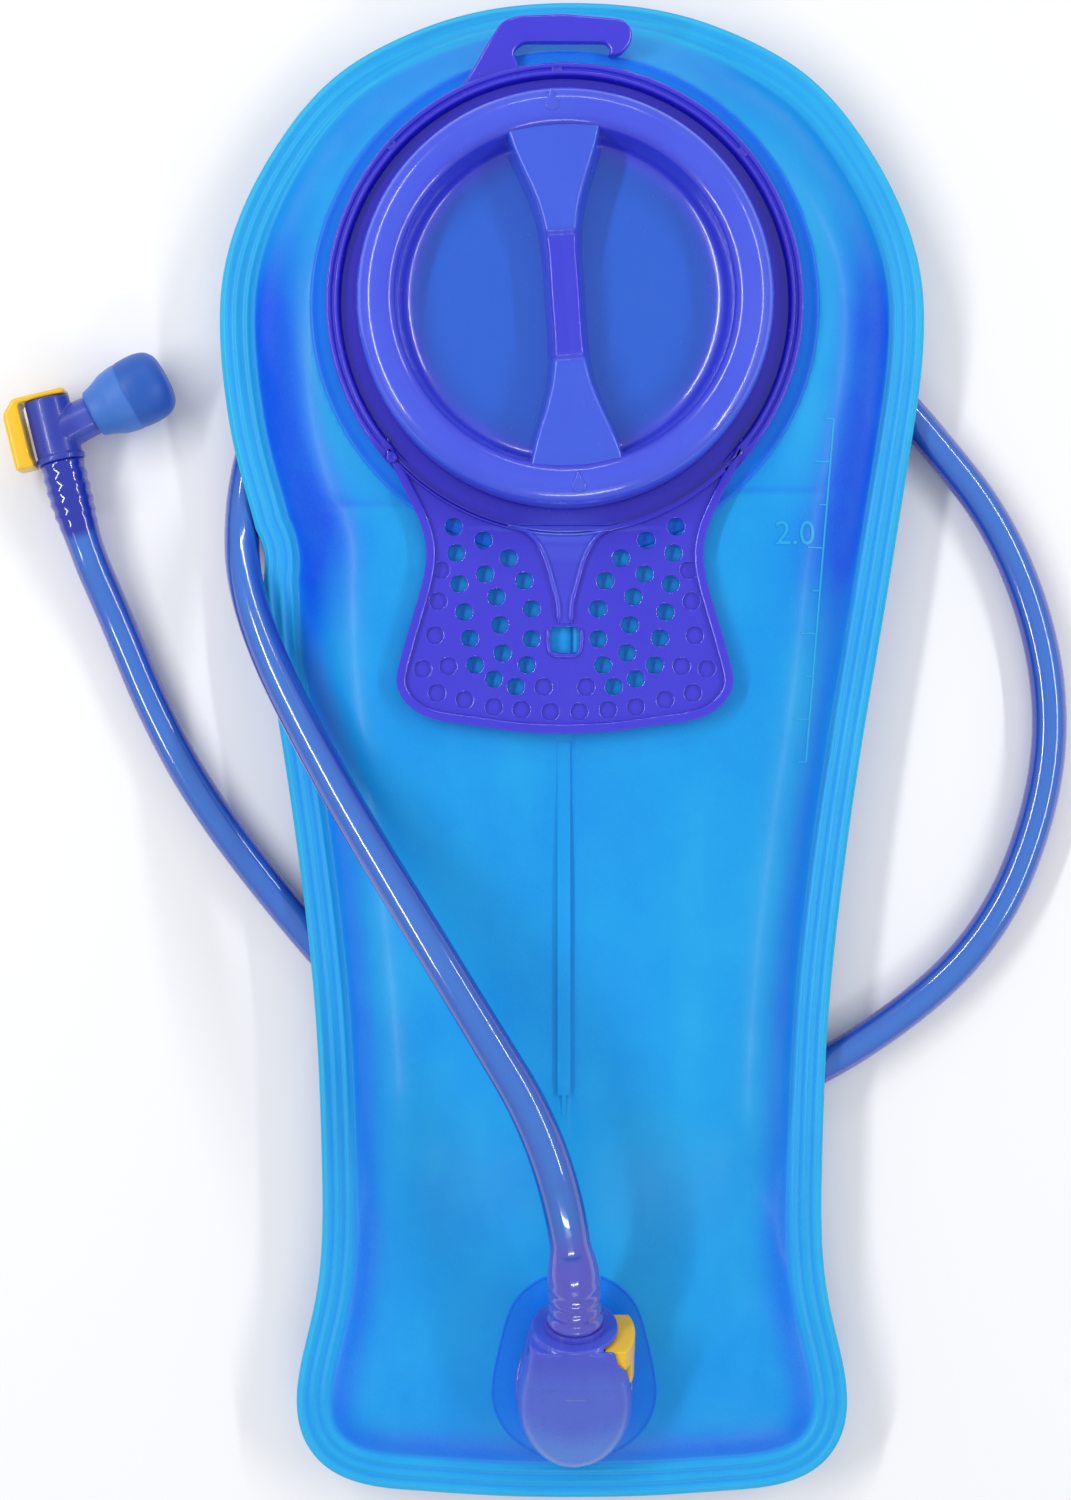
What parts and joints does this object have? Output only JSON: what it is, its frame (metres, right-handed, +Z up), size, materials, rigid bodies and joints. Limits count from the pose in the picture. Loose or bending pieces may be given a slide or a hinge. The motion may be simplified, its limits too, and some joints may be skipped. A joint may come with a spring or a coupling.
{
  "type": "hydration bladder",
  "caption": "Soft welded water reservoir with a wide screw cap, hanging hook, click-in outlet, drinking hose, shut-off lever and bite valve.",
  "frame": {"origin": "on the flat resting face of the back film, under the middle of the bag", "axes": "+Z up from the resting face, +Y towards the filler port and hook, +X to the right seen from the front"},
  "size_m": [0.2733, 0.381, 0.0547],
  "materials": {
    "bag_film": "translucent azure film with a fine satin emboss",
    "port_plastic": "translucent violet-blue moulding, glossy",
    "cap_plastic": "translucent blue-violet moulding, glossy",
    "outlet_plastic": "translucent violet moulding, satin",
    "plug_plastic": "moulded violet plastic, satin",
    "yellow_plastic": "opaque yellow moulded plastic",
    "hose_plastic": "clear blue hose, glossy",
    "valve_plastic": "moulded blue plastic",
    "mouthpiece_silicone": "matt blue silicone",
    "seal_rubber": "pale translucent silicone seal",
    "spring_steel": "stainless spring wire"
  },
  "bodies": {
    "root": {"front_film": "bag_film", "back_film": "bag_film", "centre_baffle": "bag_film", "port_collar": "port_plastic", "port_frame": "port_plastic", "outlet_socket": "outlet_plastic", "valve_poppet": "outlet_plastic", "poppet_spring": "spring_steel", "hose_plug": "plug_plastic", "plug_o_ring": "seal_rubber", "drink_tube": "hose_plastic", "valve_body": "valve_plastic"},
    "cap_seal": {"cap_gasket": "seal_rubber"},
    "cap": {"screw_cap": "cap_plastic"},
    "latch": {"latch_button": "yellow_plastic", "latch_spring": "spring_steel"},
    "lever": {"shutoff_lever": "yellow_plastic", "valve_rotor": "valve_plastic", "rotor_o_rings": "seal_rubber"},
    "mouthpiece": {"bite_valve": "mouthpiece_silicone"}
  },
  "joints": [
    {"name": "cap_lift", "type": "slide", "parent": "root", "child": "cap_seal", "axis": [0, 0, 1], "range_m": [0, 0.0151]},
    {"name": "cap_turn", "type": "hinge", "parent": "cap_seal", "child": "cap", "pos_m": [-0.002, 0.1115, 0.035], "axis": [0, 0, 1], "range_deg": [0, 540]},
    {"name": "latch_press", "type": "slide", "parent": "root", "child": "latch", "axis": [-1, 0, 0], "range_m": [0, 0.002], "stiffness_N_per_m": 400, "springref_m": -0.002},
    {"name": "lever_turn", "type": "hinge", "parent": "root", "child": "lever", "pos_m": [-0.1308, 0.0738, 0.009], "axis": [-0.2385, 0.9711, 0], "range_deg": [0, 90]},
    {"name": "bite_valve_turn", "type": "hinge", "parent": "root", "child": "mouthpiece", "pos_m": [-0.13256, 0.08099, 0.009], "axis": [0.8894, 0.4571, 0], "continuous": true}
  ],
  "couplings": [
    {"joint": "cap_lift", "follows": "cap_turn", "m_per_rad": 0.0015915}
  ]
}
